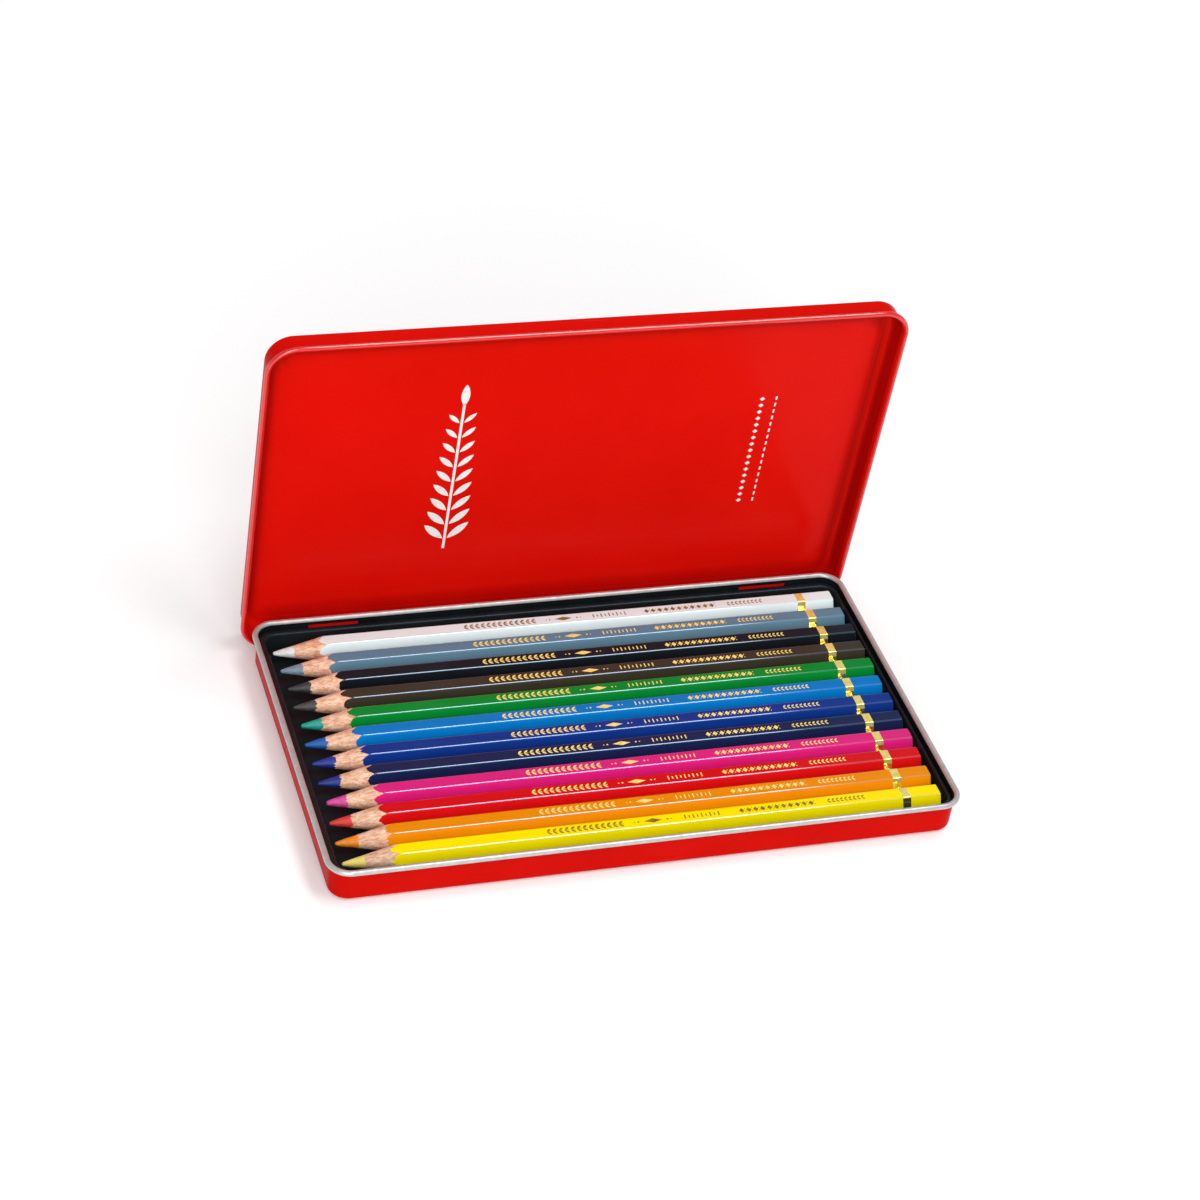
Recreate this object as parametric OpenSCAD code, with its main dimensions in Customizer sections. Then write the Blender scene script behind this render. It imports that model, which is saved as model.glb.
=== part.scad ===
// Hinged flat tin with a black insert and twelve coloured pencils.
// Origin: centre of the tray's underside. +X along the pencils towards their blunt ends,
// +Y towards the hinge, +Z up. The lid is drawn closed and then turned open about the hinge.

/* [Tray] */
// Length of the tray over its rolled rim
tray_l = 187; // [184:0.5:192]
// Width of the tray over its rolled rim
tray_w = 109.8; // [109:0.2:112]
// Height of the tray over its rolled rim
tray_h = 11.5; // [11:0.1:13]
// Diameter of the rolled rim
rim_d = 2; // [1.6:0.1:2.2]
// Corner radius over the rolled rim, seen from above
rim_corner_r = 7.3; // [6.5:0.1:9]
// Thickness of the tinplate
sheet = 0.3; // [0.25:0.05:0.4]
// Outside radius between the tray's wall and floor
base_fillet_r = 1.5; // [1:0.1:2]
// Length of the ridge pressed into the front wall
ridge_l = 21; // [10:1:40]

/* [Lid] */
// How far the lid stands open from closed, in degrees
lid_open = 85; // [0:1:100]
// Gap between the tray's rim and the lid's skirt along the length
lid_gap_x = 0.3; // [0.3:0.05:0.5]
// Gap between the tray's rim and the lid's skirt across the width
lid_gap_y = 0.4; // [0.4:0.05:0.5]
// Height of the closed lid's top above the table
lid_top = 12.25; // [12.25:0.05:14]
// Height of the centre of the closed lid's rolled edge above the table
lid_edge_z = 4.15; // [4:0.05:5]
// Diameter of the lid's rolled edge
lid_edge_d = 1.5; // [1.2:0.1:1.6]
// Outside radius between the lid's top and skirt
lid_fillet_r = 2.3; // [1.5:0.1:2.3]
// Length of the catch dimple in the front skirt
catch_l = 12; // [6:1:20]

/* [Hinge] */
// Distance from the centre to the middle of each hinge
hinge_x = 67.8; // [50:0.2:75]
// Width of each window in the back wall
window_w = 15; // [13:0.5:18]
// Width of each knuckle and of the tab that turns on it
knuckle_w = 12; // [8:0.5:12]
// Distance from the centre of the tray to the hinge axis
axis_y = 54.2; // [54.1:0.05:54.3]
// Height of the hinge axis above the table
axis_z = 2.9; // [2.9:0.05:3]
// Outside radius of the knuckle
knuckle_r = 0.6; // [0.5:0.05:0.6]

/* [Insert] */
// Height of the insert's ledge above the table
ledge_z = 8.8; // [8:0.1:9.2]
// Height of the surface that the pencils lie on
bed_z = 2; // [1.5:0.1:2.2]
// Thickness of the moulded plastic
insert_t = 0.6; // [0.4:0.1:0.8]
// Clear length of the trough
trough_l = 179.6; // [178:0.1:179.8]
// Clear width of the trough
trough_w = 101.2; // [100:0.1:102]
// How far the trough sits towards the pencils' blunt ends
trough_shift = 0.5; // [0:0.05:0.6]
// Number of ribs under the bed
rib_count = 7; // [3:1:9]

/* [Pencils] */
// Distance from pencil to pencil
pitch = 8.23; // [8.1:0.01:8.3]
// Width across the flats of the lacquered casing
flats = 7; // [6.6:0.1:7.1]
// Radius of the casing's long edges
edge_r = 0.5; // [0.3:0.1:0.8]
// Thickness of the lacquer
lacquer_t = 0.15; // [0.1:0.05:0.25]
// Length of a pencil
pencil_l = 176; // [170:0.5:177]
// Diameter of the coloured lead
lead_d = 3.8; // [2.5:0.1:4.2]
// Half angle of the sharpened cone, in degrees
cone_angle = 12.4; // [9:0.1:14]
// Radius of the worn point
point_r = 0.45; // [0.2:0.05:0.6]
// Width of the foil band
foil_w = 2.5; // [1:0.1:5]
// Distance from the blunt end to the foil band
foil_from_end = 9.4; // [4:0.1:20]
// Distance of the first pencil's point from the centre, before its own slip
point_x = -86.7; // [-87:0.1:-86]
// Offset of the row of pencils towards the hinge
row_y = 0.6; // [0:0.1:0.8]

/* [Hidden] */
$fn = 48;
hair = 0.02;               // least step that keeps two surfaces from coinciding
cut = 1;                   // how far a cutting shape runs past what it cuts

// Names of the twelve pencils from the hinge to the front, and their lacquers
SHADES = ["white", "slate", "black", "umber", "green", "azure",
          "cobalt", "navy", "magenta", "red", "orange", "yellow"];
LACQUERS = ["whitesmoke", "slategray", "#1c1e20", "#463a2e", "#048a3a", "#0278be",
            "#123c90", "#1c2452", "#e02c80", "#dc1a1e", "#ee9208", "#fce400"];
LEADS = ["white", "lightslategray", "#3a3c3e", "#4a4846", "#14a596", "#0a5fbe",
         "#193296", "#16288c", "#e14ba5", "#e13228", "#f08c0a", "#f5e16e"];
// How far each pencil has slid along its place
SLIPS = [-0.8, -0.1, 0.6, 0.4, 0.4, -0.1, 0.3, 0.1, 0.1, -0.4, -0.6, -0.7];
pencil_count = len(SHADES);

rim_r = rim_d / 2;
rim_x = tray_l / 2 - rim_r;                 // centre line of the rolled rim
rim_y = tray_w / 2 - rim_r;
rim_z = tray_h - rim_r;
rim_lap = 0.05;                             // the rim stands this far inside the wall's inner face
wall_x = rim_x - rim_r + rim_lap + sheet;   // outer face of the tray's wall
wall_y = rim_y - rim_r + rim_lap + sheet;
wall_r = rim_corner_r - (tray_l / 2 - wall_x);

skirt_x = tray_l / 2 + lid_gap_x + sheet;   // outer face of the lid's skirt
skirt_y = tray_w / 2 + lid_gap_y + sheet;
skirt_r = rim_corner_r + lid_gap_x + sheet;
lid_edge_r = lid_edge_d / 2;

ridge_z = 2.1;             // height of the pressed ridge
ridge_out = 0.35;          // how far the ridge stands out of the wall
ridge_r = 0.9;
catch_z = 9.3;             // closed height of the catch, just under the tray's rim
catch_in = 0.18;           // how far the catch stands in from the skirt
catch_r = 0.7;

window_low = axis_z - knuckle_r / 2;
window_high = 9.7;
tab_gap = 0.05;            // running clearance of the tab on the knuckle
tab_r = knuckle_r + tab_gap;
tab_lean = 28.7;           // slope of the tab's leg from the knuckle to the skirt
tab_tip = 190;             // direction in which the closed tab ends, seen along the axis

insert_gap = 0.3;          // play between the insert and the tray's wall
bed_gap = 0.05;            // the ribs' height above the tray's floor
trough_r = 4;
rib_w = 1;

slat_gap = 0.04;           // glue line between the casing's two slats
end_chamfer = 0.45;
foil_t = 0.04;
row_z = bed_z + flats / 2 + 0.1;            // height of the pencils' axes
wood_l = pencil_l - lacquer_t;
end_r = flats / 2 - end_chamfer / 2;
body_r = 5;                // wider than any pencil
virtual_point = point_r / tan(cone_angle);  // the cone's apex lies this far past the worn point
SHARPENED = [[0, 0], [point_r, 0], [body_r, body_r / tan(cone_angle) - virtual_point]];
PLAIN = [[0, -cut], [body_r, -cut]];

function pencil_part(shade, part) = str("pencil_", shade, "_", part);
PARTS = ["casing", "lead", "lacquer", "foil"];

// Carries a profile round a rounded rectangle: x is outwards from the path, y is up
module around(half_x, half_y, r) {
    for (side = [0:3]) {
        a = side % 2 == 0 ? half_x : half_y;
        b = side % 2 == 0 ? half_y : half_x;
        rotate([0, 0, 90 * side]) {
            translate([a, b - r, 0]) rotate([90, 0, 0]) linear_extrude(2 * (b - r)) children();
            translate([a - r, b - r, 0]) rotate_extrude(angle = 90) translate([r, 0]) children();
        }
    }
}

// Quarter ring that joins a wall on its right to a panel above (up = 1) or below (up = -1)
module bend_profile(r, up) {
    intersection() {
        difference() {
            circle(r);
            circle(r - sheet);
        }
        translate([0, up > 0 ? 0 : -r - cut]) square([r + cut, r + cut]);
    }
}

module rounded_plate(half_x, half_y, r, t) {
    linear_extrude(t) {
        square([2 * half_x, 2 * (half_y - r)], center = true);
        square([2 * (half_x - r), 2 * half_y], center = true);
        for (sx = [-1, 1], sy = [-1, 1])
            translate([sx * (half_x - r), sy * (half_y - r)]) circle(r);
    }
}

// Spindle along X: an arc turned about its own chord
module spindle(length, r) {
    arc_r = (length * length / 4 + r * r) / (2 * r);
    rotate([0, 90, 0]) rotate_extrude() intersection() {
        translate([r - arc_r, 0]) circle(arc_r, $fn = 180);
        translate([0, -length / 2]) square([r + cut, length]);
    }
}

// ---- tray ----
module tray_profile() {
    translate([-sheet, base_fillet_r]) square([sheet, rim_z - base_fillet_r]);
    translate([-base_fillet_r, base_fillet_r]) bend_profile(base_fillet_r, -1);
    translate([-wall_r, 0]) square([wall_r - base_fillet_r, sheet]);
    translate([rim_r - rim_lap - sheet, rim_z]) circle(rim_r);
}

module tray_shell() {
    around(wall_x, wall_y, wall_r) tray_profile();
    translate([-(wall_x - wall_r), -(wall_y - wall_r), 0])
        cube([2 * (wall_x - wall_r), 2 * (wall_y - wall_r), sheet]);
}

module front_ridge() {
    intersection() {
        translate([0, -(wall_y + ridge_out - ridge_r), ridge_z]) spindle(ridge_l, ridge_r);
        translate([-ridge_l, -wall_y - cut, 0]) cube([2 * ridge_l, cut + sheet / 2, tray_h]);
    }
}

module tray_pan() {
    color("#d02022") {
        difference() {
            tray_shell();
            for (side = [-1, 1])
                translate([side * hinge_x - window_w / 2, wall_y - 2 * sheet, window_low])
                    cube([window_w, 2 * sheet + hair, window_high - window_low]);
        }
        front_ridge();
    }
}

// Tube on the hinge axis, on a strip turned out of the bottom of the window
module hinge_knuckle(side) {
    color("silver") translate([side * hinge_x, axis_y, axis_z]) {
        difference() {
            union() {
                rotate([0, 90, 0]) cylinder(r = knuckle_r, h = knuckle_w, center = true);
                translate([-knuckle_w / 2, wall_y - axis_y, -knuckle_r])
                    cube([knuckle_w, axis_y - wall_y, sheet]);
            }
            rotate([0, 90, 0]) cylinder(r = knuckle_r - sheet, h = knuckle_w + cut, center = true);
        }
    }
}
module hinge_knuckle_left() { hinge_knuckle(-1); }
module hinge_knuckle_right() { hinge_knuckle(1); }

// ---- lid ----
module lid_profile() {
    bend_z = lid_top - lid_fillet_r;
    translate([-sheet, lid_edge_z]) square([sheet, bend_z - lid_edge_z]);
    translate([-lid_fillet_r, bend_z]) bend_profile(lid_fillet_r, 1);
    translate([-skirt_r, lid_top - sheet]) square([skirt_r - lid_fillet_r, sheet]);
    translate([lid_edge_r - sheet - hair, lid_edge_z]) circle(lid_edge_r);
}

module lid_shell() {
    around(skirt_x, skirt_y, skirt_r) lid_profile();
    translate([-(skirt_x - skirt_r), -(skirt_y - skirt_r), lid_top - sheet])
        cube([2 * (skirt_x - skirt_r), 2 * (skirt_y - skirt_r), sheet]);
}

// Dimple pressed into the front skirt: hollow outside, proud inside
module catch_bump() {
    intersection() {
        translate([0, -(skirt_y - sheet - catch_in + catch_r), catch_z]) spindle(catch_l, catch_r);
        translate([-catch_l, -skirt_y + sheet / 2, 0]) cube([2 * catch_l, cut, lid_top]);
    }
}

module catch_hollow() {
    translate([0, -(skirt_y - sheet / 2 + catch_r), catch_z]) spindle(catch_l, catch_r);
}

// Turns what is drawn closed to its open place about the hinge axis
module opened() {
    translate([0, axis_y, axis_z]) rotate([-lid_open, 0, 0]) translate([0, -axis_y, -axis_z]) children();
}

module lid_pan() {
    color("#dc160a") opened() {
        difference() {
            lid_shell();
            catch_hollow();
        }
        catch_bump();
    }
}

// Strip of the lid that curls over the knuckle and turns on it
module hinge_tab(side) {
    leg_l = 2.5;
    start = 90 + tab_lean;
    color("#c8120a") opened() translate([side * hinge_x, axis_y, axis_z]) rotate([90, 0, 90]) {
        translate([0, 0, -knuckle_w / 2]) linear_extrude(knuckle_w) {
            intersection() {
                difference() {
                    circle(tab_r + sheet);
                    circle(tab_r);
                }
                polygon([[0, 0], 3 * [cos(start), sin(start)], 3 * [cos(start + 40), sin(start + 40)],
                         3 * [cos(tab_tip), sin(tab_tip)]]);
            }
            intersection() {
                rotate(tab_lean) translate([0, tab_r]) square([leg_l, sheet]);
                translate([-cut, 0]) square([cut + skirt_y - sheet - hair - axis_y, 2 * leg_l]);
            }
        }
    }
}
module hinge_tab_left() { hinge_tab(-1); }
module hinge_tab_right() { hinge_tab(1); }

// ---- insert ----
module insert_tray() {
    flange_x = wall_x - sheet - insert_gap;
    flange_y = wall_y - sheet - insert_gap;
    half_l = trough_l / 2;
    half_w = trough_w / 2;
    rib_span = trough_l - 20;
    color("#1b1c1e") difference() {
        union() {
            translate([0, 0, ledge_z - insert_t])
                rounded_plate(flange_x, flange_y, wall_r - sheet - insert_gap, insert_t);
            translate([trough_shift, 0, bed_z - insert_t])
                rounded_plate(half_l + insert_t - 0.1, half_w + insert_t - 0.1, trough_r + insert_t - 0.1,
                              ledge_z - bed_z);
            for (i = [0:rib_count - 1])
                translate([trough_shift - rib_span / 2 + i * rib_span / (rib_count - 1) - rib_w / 2,
                           -half_w + trough_r, sheet + bed_gap])
                    cube([rib_w, 2 * (half_w - trough_r), bed_z - insert_t / 2 - sheet - bed_gap]);
        }
        translate([trough_shift, 0, bed_z]) rounded_plate(half_l, half_w, trough_r, ledge_z);
    }
}

// ---- pencils ----
// Hexagon with rounded corners, flat sides up and down once the pencil lies along X
module rounded_hexagon(across, r) {
    corner = (across / 2 - r) / cos(30);
    steps = 4;
    polygon([for (k = [0:5]) for (s = [0:steps])
        corner * [cos(30 + 60 * k), sin(30 + 60 * k)]
        + r * [cos(60 * k + 60 * s / steps), sin(60 * k + 60 * s / steps)]]);
}

// The turned shape that every pencil is cut to: front outline, body, and chamfered end
module turned_outline(end_z, front) {
    rotate_extrude() polygon(concat(front, [[body_r, end_z - body_r + end_r], [end_r, end_z], [0, end_z]]));
}

// Puts a pencil drawn upright from its point in its place in the row
module placed(index) {
    row_start = row_y + (pencil_count - 1) / 2 * pitch;
    translate([point_x + SLIPS[index], row_start - index * pitch, row_z]) rotate([0, 90, 0]) children();
}

// The pencil's wood before it is bored and lacquered
module wood_blank(front) {
    intersection() {
        translate([0, 0, -cut]) linear_extrude(wood_l + cut)
            rounded_hexagon(flats - 2 * lacquer_t, edge_r - lacquer_t);
        turned_outline(wood_l, front);
    }
}

module pencil_casing(index) {
    color("#eebf98") placed(index) difference() {
        wood_blank(SHARPENED);
        translate([0, 0, -cut]) cylinder(d = lead_d, h = pencil_l + 2 * cut);
        translate([-slat_gap / 2, -flats, -cut]) cube([slat_gap, 2 * flats, pencil_l + 2 * cut]);
    }
}

module pencil_lead(index) {
    color(LEADS[index]) placed(index) intersection() {
        cylinder(d = lead_d, h = wood_l);
        turned_outline(pencil_l + cut, SHARPENED);
    }
}

module pencil_lacquer(index) {
    color(LACQUERS[index]) placed(index) intersection() {
        difference() {
            linear_extrude(pencil_l) rounded_hexagon(flats, edge_r);
            wood_blank(PLAIN);
        }
        turned_outline(pencil_l, SHARPENED);
    }
}

module pencil_foil(index) {
    color("gold") placed(index) translate([0, 0, pencil_l - foil_from_end - foil_w])
        linear_extrude(foil_w) difference() {
            rounded_hexagon(flats + 2 * foil_t, edge_r + foil_t);
            rounded_hexagon(flats, edge_r);
        }
}

tray_pan();
hinge_knuckle_left();
hinge_knuckle_right();
insert_tray();
lid_pan();
hinge_tab_left();
hinge_tab_right();
for (i = [0:pencil_count - 1]) {
    pencil_casing(i);
    pencil_lead(i);
    pencil_lacquer(i);
    pencil_foil(i);
}
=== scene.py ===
import math

import bpy
import numpy as np
from mathutils import Matrix


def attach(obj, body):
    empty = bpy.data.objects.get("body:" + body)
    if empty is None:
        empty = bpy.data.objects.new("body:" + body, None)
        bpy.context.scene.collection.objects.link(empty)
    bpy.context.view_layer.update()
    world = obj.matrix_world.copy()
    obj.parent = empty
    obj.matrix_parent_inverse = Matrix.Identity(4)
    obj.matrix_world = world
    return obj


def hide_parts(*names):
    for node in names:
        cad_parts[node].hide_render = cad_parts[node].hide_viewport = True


mm = 0.001
square = np.array([[-1, -1], [1, -1], [1, 1], [-1, 1]])   # its corners, anticlockwise

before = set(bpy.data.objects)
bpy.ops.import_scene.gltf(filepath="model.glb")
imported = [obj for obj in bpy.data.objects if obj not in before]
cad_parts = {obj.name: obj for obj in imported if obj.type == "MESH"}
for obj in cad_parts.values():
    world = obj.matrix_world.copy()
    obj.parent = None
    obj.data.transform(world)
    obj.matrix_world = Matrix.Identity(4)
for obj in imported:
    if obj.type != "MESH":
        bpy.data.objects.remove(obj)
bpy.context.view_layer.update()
print("frame loaded")


def linearColour(hexText):   # an sRGB hex value as the linear colour that sockets take
    parts = np.array([int(hexText[i:i + 2], 16) for i in (1, 3, 5)]) / 255
    linear = np.where(parts <= 0.04045, parts / 12.92, ((parts + 0.055) / 1.055) ** 2.4)
    return (*[float(x) for x in linear], 1.0)


def addNode(tree, kind, settings=None, links=None):
    # adds a node; settings name its properties or sockets, links give (node, output) for a socket
    made = tree.nodes.new(kind)
    for key, value in (settings or {}).items():
        if isinstance(key, str) and hasattr(made, key):
            setattr(made, key, value)
        else:
            made.inputs[key].default_value = value
    for key, (source, output) in (links or {}).items():
        tree.links.new(source.outputs[output], made.inputs[key])
    return made


def newFinish(name, settings):   # an empty material with its shader, ready for patterns
    made = bpy.data.materials.new(name)
    made.use_nodes = True
    tree = made.node_tree
    tree.nodes.clear()
    shader = addNode(tree, "ShaderNodeBsdfPrincipled", settings)
    addNode(tree, "ShaderNodeOutputMaterial", {}, {"Surface": (shader, "BSDF")})
    return made, tree, shader


def perMm(size):   # how many noise cells of that size in millimetres lie in a metre
    return 1000 / size


def patterns(tree, stretch, *grains):
    # noise patterns that share Object coordinates scaled along each axis; a small scale stretches
    spot = addNode(tree, "ShaderNodeTexCoord")
    spread = addNode(tree, "ShaderNodeMapping", {"Scale": stretch}, {"Vector": (spot, "Object")})
    return [addNode(tree, "ShaderNodeTexNoise", grain, {"Vector": (spread, "Vector")}) for grain in grains]


def dress(tree, shader, tones, gloss=None, relief=None):
    # joins patterns to a shader: tones and gloss are (pattern, low, high, first, second), where the
    # pattern from low to high gives the first hex colour or roughness, then the second; relief is
    # (pattern, strength, height in mm)
    pattern, low, high, firstHex, secondHex = tones
    share = addNode(tree, "ShaderNodeMapRange", {"From Min": low, "From Max": high},
                    {"Value": (pattern, "Fac")})
    tone = addNode(tree, "ShaderNodeMix", {"data_type": "RGBA", 6: linearColour(firstHex),
                                           7: linearColour(secondHex)}, {0: (share, "Result")})
    tree.links.new(tone.outputs[2], shader.inputs["Base Color"])
    if gloss:
        pattern, low, high, first, second = gloss
        rough = addNode(tree, "ShaderNodeMapRange", {"From Min": low, "From Max": high, "To Min": first,
                                                     "To Max": second}, {"Value": (pattern, "Fac")})
        tree.links.new(rough.outputs["Result"], shader.inputs["Roughness"])
    if relief:
        pattern, strength, height = relief
        bump = addNode(tree, "ShaderNodeBump", {"Strength": strength, "Distance": height * mm},
                       {"Height": (pattern, "Fac")})
        tree.links.new(bump.outputs["Normal"], shader.inputs["Normal"])
    return tone


def gridFaces(rows, columns, closeAlong):
    # quads between neighbouring points of a rows x columns grid whose rows are closed rings;
    # "closeAlong" joins the last ring to the first
    index = np.arange(rows * columns).reshape(rows, columns)
    up = np.roll(index, -1, 0)
    quads = np.stack([index, np.roll(index, -1, 1), np.roll(up, -1, 1), up], -1)
    return quads if closeAlong else quads[:-1]


def newPiece(name, points, faces, finishes, finishIndex=None, creaseAngle=40):
    mesh = bpy.data.meshes.new(name)
    mesh.from_pydata(np.asarray(points, float).reshape(-1, 3).tolist(), [], faces)
    for finish in finishes:
        mesh.materials.append(finish)
    if finishIndex is not None:
        mesh.polygons.foreach_set("material_index", np.asarray(finishIndex, np.int32))
    mesh.polygons.foreach_set("use_smooth", np.ones(len(mesh.polygons), bool))
    mesh.set_sharp_from_angle(angle=math.radians(creaseAngle))
    mesh.validate()
    mesh.update()
    piece = bpy.data.objects.new(name, mesh)
    bpy.context.scene.collection.objects.link(piece)
    return piece


def place(piece, body, slot, *nodes):
    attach(piece, body)
    if nodes:
        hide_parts(*nodes)


def smoothNoise(values, seed, waves):
    # a sum of sines with random phase: a smooth, repeatable wander over an array of positions
    random = np.random.default_rng(seed)
    total = np.zeros_like(values, dtype=float)
    for wave in waves:
        total += np.sin(values * wave + random.uniform(0, 2 * math.pi)) * random.uniform(0.6, 1.0)
    return total / len(waves)


def roundedRing(halfX, halfY, radius, alongX, alongY, cornerSteps, shiftX=0.0):
    # a rounded rectangle, anticlockwise from its right side: each side is sampled at the given
    # shares of its straight part, each corner is a quarter circle
    centreX, centreY = halfX - radius, halfY - radius
    quarter = np.linspace(0, math.pi / 2, cornerSteps + 1)[1:-1]
    starts = [(halfX, 0), (0, halfY), (-halfX, 0), (0, -halfY)]
    steps = [(0, centreY), (-centreX, 0), (0, -centreY), (centreX, 0)]
    corners = np.roll(square, -2, 0) * [centreX, centreY]
    parts = []
    for k, shares in enumerate([alongY, alongX, alongY, alongX]):
        turn = quarter + k * math.pi / 2
        parts += [np.array(starts[k]) + shares[:, None] * np.array(steps[k]),
                  corners[k] + radius * np.stack([np.cos(turn), np.sin(turn)], -1)]
    return np.concatenate(parts) + [shiftX, 0]


coolGloss = "#c4e2ff"   # dark glossy coats throw back a slightly cool light
evenly = (1, 1, 1)   # a pattern that runs alike in every direction


def bakedEnamel(name, hexText, paleHex, gloss, lowRough, highRough, paintedShadeHex=None):
    # stoved enamel on tinplate: a deep even red with faint orange peel, burnished along the rolled
    # edge, where hands and the tray rub it; where a mesh attribute says so, painted shade darkens it
    # towards a darker red, in a band round the pressed panel
    finish, tree, shader = newFinish(name, {"IOR": 1.5, "Specular IOR Level": gloss})
    cloud, haze, peel = patterns(tree, evenly, {"Scale": perMm(28), "Detail": 3.0},
                                 {"Scale": perMm(4), "Detail": 4.0, "Roughness": 0.65},
                                 {"Scale": perMm(1.6), "Detail": 0.0})   # the peel's crests, 1.6 mm apart
    tone = dress(tree, shader, (cloud, 0.3, 0.7, hexText, paleHex), (haze, 0.3, 0.7, lowRough, highRough),
                 (peel, 0.05, 0.01))
    # painted shade: the mesh attribute blends the red towards the darker hex
    if paintedShadeHex:
        depth = addNode(tree, "ShaderNodeAttribute", {"attribute_name": "paintedShade"})
        paintedShade = addNode(tree, "ShaderNodeMix", {"data_type": "RGBA", 7: linearColour(paintedShadeHex)},
                         {0: (depth, "Fac"), 6: (tone, 2)})
        tree.links.new(paintedShade.outputs[2], shader.inputs["Base Color"])
    return finish


def bareTinplate(name):
    # bare drawn tinplate, dulled by its passivation: soft grey metal, faintly mottled where the
    # rolling dies rubbed it
    finish, tree, shader = newFinish(name, {"Metallic": 0.48})
    mottle, = patterns(tree, evenly, {"Scale": perMm(2.2), "Detail": 6.0, "Roughness": 0.7})
    dress(tree, shader, (mottle, 0.35, 0.68, "#b4b5b3", "#c8c9c8"), (mottle, 0.3, 0.75, 0.42, 0.32),
          (mottle, 0.1, 0.01))
    return finish


def blackGloss(name, hexText, paleHex, gloss, lowRough, highRough, grain):
    # black lacquer or vacuum formed polystyrene: near black, with soft uneven gloss; grain is the
    # size of its slight waves in mm
    finish, tree, shader = newFinish(name, {"IOR": 1.5, "Specular IOR Level": gloss,
                                            "Specular Tint": linearColour(coolGloss)})
    cloud, flow = patterns(tree, evenly, {"Scale": perMm(9), "Detail": 5.0, "Roughness": 0.6},
                           {"Scale": perMm(grain), "Detail": 2.0})
    dress(tree, shader, (cloud, 0.35, 0.7, hexText, paleHex), (cloud, 0.3, 0.7, lowRough, highRough),
          (flow, 0.1, 0.02))
    return finish


def sharpenedCedar(name):
    # cedar cut across its fibres by a sharpener: pinkish tan, with brown flecks along the grain
    # and torn pale fibres
    finish, tree, shader = newFinish(name, {"Roughness": 0.72, "IOR": 1.45})
    # fibres run along the pencil, and so do the shorter flecks
    broad, = patterns(tree, (0.22, 1, 1), {"Scale": perMm(0.8), "Detail": 6.0, "Roughness": 0.72})
    dash, = patterns(tree, (0.34, 1, 1), {"Scale": perMm(0.33), "Detail": 2.0, "Roughness": 0.55})
    wood = dress(tree, shader, (broad, 0.36, 0.64, "#cf8d68", "#f9d9bd"), None, (dash, 0.55, 0.06))
    dark = addNode(tree, "ShaderNodeMapRange", {"From Min": 0.57, "From Max": 0.68, "To Max": 0.6},
                   {"Value": (dash, "Fac")})
    speckled = addNode(tree, "ShaderNodeMix", {"data_type": "RGBA", 7: linearColour("#a8663f")},
                       {0: (dark, "Result"), 6: (wood, 2)})
    tree.links.new(speckled.outputs[2], shader.inputs["Base Color"])
    return finish


def waxCore(name, hexText, darkHex):
    # wax and pigment core cut by a sharpener: dull, with fine turned ridges and smears
    finish, tree, shader = newFinish(name, {"IOR": 1.45})
    smear, = patterns(tree, (0.5, 1, 1), {"Scale": perMm(0.8), "Detail": 5.0, "Roughness": 0.6})
    cuts, = patterns(tree, (3, 0.8, 0.8), {"Scale": perMm(0.9), "Detail": 2.0})   # across the pencil
    dress(tree, shader, (smear, 0.35, 0.62, darkHex, hexText), (smear, 0.3, 0.7, 0.4, 0.6),
          (cuts, 0.35, 0.04))
    return finish


def pencilLacquer(name, hexText, deepHex, bloom, ior, gloss, lowRough, highRough):
    # many dipped coats of nitrocellulose lacquer: saturated, drawn slightly along the pencil, with
    # a bloom of dust that pales it at a slant; the long edges are burnished by the maker's rollers,
    # so they draw a bright line of gloss
    finish, tree, shader = newFinish(name, {"IOR": ior, "Specular IOR Level": gloss,
                                            "Specular Tint": linearColour(coolGloss),
                                            "Sheen Weight": bloom, "Sheen Roughness": 0.5,
                                            "Sheen Tint": linearColour(coolGloss)})
    drawn, = patterns(tree, (0.06, 1, 1), {"Scale": perMm(1.3), "Detail": 4.0, "Roughness": 0.55})
    dust, = patterns(tree, evenly, {"Scale": perMm(1.1), "Detail": 1.0})
    dress(tree, shader, (drawn, 0.3, 0.7, deepHex, hexText), (drawn, 0.3, 0.7, lowRough, highRough),
          (dust, 0.05, 0.02))
    return finish


def stampedFoil(name, deepHex, paleHex, metal, lowRough, highRough):
    # hot stamped gold foil: bright, with a slight crumple where it bridges the lacquer; the fine
    # gilding is duller than the broad band, because the grain of the wood shows through it
    finish, tree, shader = newFinish(name, {"Metallic": metal})
    crumple, = patterns(tree, evenly, {"Scale": perMm(1.3), "Detail": 1.0})
    dress(tree, shader, (crumple, 0.35, 0.65, deepHex, paleHex), (crumple, 0.3, 0.7, lowRough, highRough),
          (crumple, 0.5, 0.04))
    return finish


def screenPrint(name):
    # white screen ink on enamel: flat and dull, slightly thin in places
    finish, tree, shader = newFinish(name, {"Roughness": 0.5, "IOR": 1.45})
    thin, = patterns(tree, evenly, {"Scale": perMm(1.5), "Detail": 3.0})
    dress(tree, shader, (thin, 0.25, 0.5, "#ecd9d4", "#f1f3f0"))
    return finish


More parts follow.
